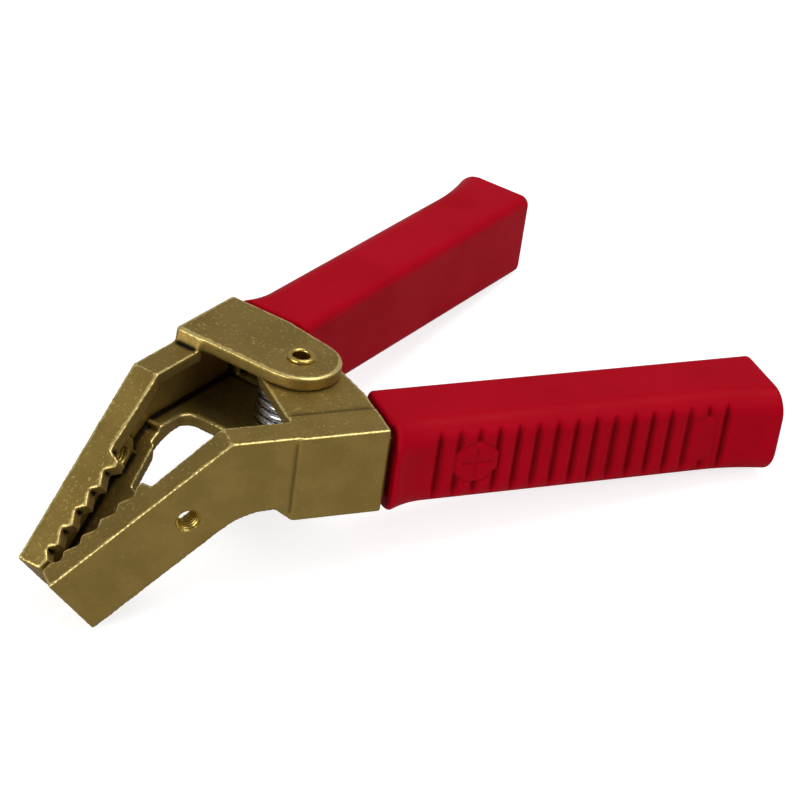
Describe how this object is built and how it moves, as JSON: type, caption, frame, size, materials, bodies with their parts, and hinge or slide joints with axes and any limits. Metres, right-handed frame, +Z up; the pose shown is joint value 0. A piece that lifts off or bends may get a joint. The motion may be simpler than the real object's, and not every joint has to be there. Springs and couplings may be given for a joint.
{
  "type": "battery clamp",
  "caption": "Heavy alligator clip for a test or booster lead: cast brass levers with toothed jaws, a hollow rivet pivot, a torsion spring and red sleeve grips.",
  "frame": {"origin": "on the pivot axis, inside the hollow rivet, level with the top of the jaws", "axes": "+Z up the pivot, +X from the pivot towards the handles, left lever on -Y and right lever on +Y, jaws shut"},
  "size_m": [0.1607, 0.1138, 0.0465],
  "materials": {
    "cast_brass": "tumbled casting, satin, bright worn edges",
    "rivet_brass": "polished",
    "spring_steel": "bright drawn wire",
    "grip_pvc": "soft PVC, satin gloss"
  },
  "bodies": {
    "left_side": {"left_lever": "cast_brass", "left_grip": "grip_pvc", "pivot_rivet": "rivet_brass", "torsion_spring": "spring_steel"},
    "right_side": {"right_lever": "cast_brass", "right_grip": "grip_pvc"}
  },
  "joints": [
    {"name": "jaw_hinge", "type": "hinge", "parent": "left_side", "child": "right_side", "pos_m": [0, 0, 0], "axis": [0, 0, -1], "range_deg": [0, 36], "stiffness_Nm_per_rad": 2.5, "springref_deg": -28.65, "deforming": ["torsion_spring"]}
  ]
}
